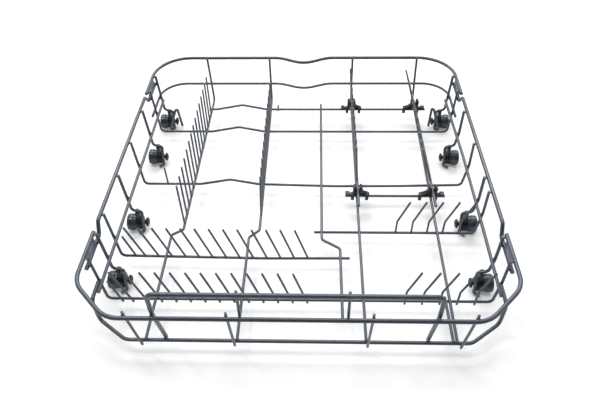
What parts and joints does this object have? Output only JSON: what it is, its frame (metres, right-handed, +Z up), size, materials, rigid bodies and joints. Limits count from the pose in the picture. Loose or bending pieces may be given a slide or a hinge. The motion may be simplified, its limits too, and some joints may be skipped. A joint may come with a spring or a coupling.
{
  "type": "dishwasher lower basket",
  "caption": "Open wire basket for the bottom of a dishwasher, with upright plate tines, folding tine rows in clips, side rollers and a raised front handle.",
  "frame": {"origin": "on the ground under the middle of the rim", "axes": "+Z up, +Y towards the rear wall, +X to the right when the handle faces the viewer"},
  "size_m": [0.5388, 0.5614, 0.1547],
  "materials": {
    "coated_wire": "satin grey plastic coating",
    "joint_plate": "satin grey coating",
    "wheel_plastic": "satin blue-grey plastic",
    "black_plastic": "satin near-black plastic"
  },
  "bodies": {
    "basket": {"rim_rear": "coated_wire", "rim_front": "coated_wire", "rim_left": "coated_wire", "rim_right": "coated_wire", "mid_rail_rear": "coated_wire", "mid_rail_left": "coated_wire", "mid_rail_right": "coated_wire", "front_floor_rail": "coated_wire", "front_handle": "coated_wire", "front_stay_1": "coated_wire", "front_stay_2": "coated_wire", "front_stay_3": "coated_wire", "front_stay_4": "coated_wire", "cross_wire_1": "coated_wire", "cross_wire_2": "coated_wire", "cross_wire_3": "coated_wire", "cross_wire_4": "coated_wire", "cross_wire_5": "coated_wire", "cross_wire_6": "coated_wire", "clip_wire": "coated_wire", "long_wire_1": "coated_wire", "long_wire_2": "coated_wire", "long_wire_3": "coated_wire", "long_wire_4": "coated_wire", "long_wire_5": "coated_wire", "long_wire_6": "coated_wire", "wheel_post_left_1": "coated_wire", "wheel_post_left_2": "coated_wire", "wheel_post_left_3": "coated_wire", "wheel_post_left_4": "coated_wire", "wheel_post_right_1": "coated_wire", "wheel_post_right_2": "coated_wire", "wheel_post_right_3": "coated_wire", "wheel_post_right_4": "coated_wire", "joint_plate_rear_left": "joint_plate", "joint_plate_rear_right": "joint_plate", "joint_plate_front_left": "joint_plate", "joint_plate_front_right": "joint_plate", "wheel_holder_left_1": "black_plastic", "wheel_holder_left_2": "black_plastic", "wheel_holder_left_3": "black_plastic", "wheel_holder_left_4": "black_plastic", "wheel_holder_right_1": "black_plastic", "wheel_holder_right_2": "black_plastic", "wheel_holder_right_3": "black_plastic", "wheel_holder_right_4": "black_plastic", "row_clip_1": "black_plastic", "row_clip_2": "black_plastic", "row_clip_3": "black_plastic", "row_clip_4": "black_plastic"},
    "wheel_left_1": {"wheel_left_1": "wheel_plastic"},
    "wheel_left_2": {"wheel_left_2": "wheel_plastic"},
    "wheel_left_3": {"wheel_left_3": "wheel_plastic"},
    "wheel_left_4": {"wheel_left_4": "wheel_plastic"},
    "wheel_right_1": {"wheel_right_1": "wheel_plastic"},
    "wheel_right_2": {"wheel_right_2": "wheel_plastic"},
    "wheel_right_3": {"wheel_right_3": "wheel_plastic"},
    "wheel_right_4": {"wheel_right_4": "wheel_plastic"},
    "folding_row_1": {"folding_row_1": "coated_wire"},
    "folding_row_2": {"folding_row_2": "coated_wire"}
  },
  "joints": [
    {"name": "wheel_left_1_spin", "type": "hinge", "parent": "basket", "child": "wheel_left_1", "pos_m": [-0.2619, 0.215, 0.013], "axis": [1, 0, 0], "continuous": true},
    {"name": "wheel_left_2_spin", "type": "hinge", "parent": "basket", "child": "wheel_left_2", "pos_m": [-0.2619, 0.1126, 0.013], "axis": [1, 0, 0], "continuous": true},
    {"name": "wheel_left_3_spin", "type": "hinge", "parent": "basket", "child": "wheel_left_3", "pos_m": [-0.2619, -0.0423, 0.013], "axis": [1, 0, 0], "continuous": true},
    {"name": "wheel_left_4_spin", "type": "hinge", "parent": "basket", "child": "wheel_left_4", "pos_m": [-0.2619, -0.1535, 0.013], "axis": [1, 0, 0], "continuous": true},
    {"name": "wheel_right_1_spin", "type": "hinge", "parent": "basket", "child": "wheel_right_1", "pos_m": [0.2619, 0.215, 0.013], "axis": [1, 0, 0], "continuous": true},
    {"name": "wheel_right_2_spin", "type": "hinge", "parent": "basket", "child": "wheel_right_2", "pos_m": [0.2619, 0.1126, 0.013], "axis": [1, 0, 0], "continuous": true},
    {"name": "wheel_right_3_spin", "type": "hinge", "parent": "basket", "child": "wheel_right_3", "pos_m": [0.2619, -0.0423, 0.013], "axis": [1, 0, 0], "continuous": true},
    {"name": "wheel_right_4_spin", "type": "hinge", "parent": "basket", "child": "wheel_right_4", "pos_m": [0.2619, -0.1535, 0.013], "axis": [1, 0, 0], "continuous": true},
    {"name": "folding_row_1_fold", "type": "hinge", "parent": "basket", "child": "folding_row_1", "pos_m": [0.0885, 0.11, 0.037], "axis": [0, -1, 0], "range_deg": [0, 81]},
    {"name": "folding_row_2_fold", "type": "hinge", "parent": "basket", "child": "folding_row_2", "pos_m": [0.205, 0.11, 0.037], "axis": [0, -1, 0], "range_deg": [0, 65]}
  ]
}
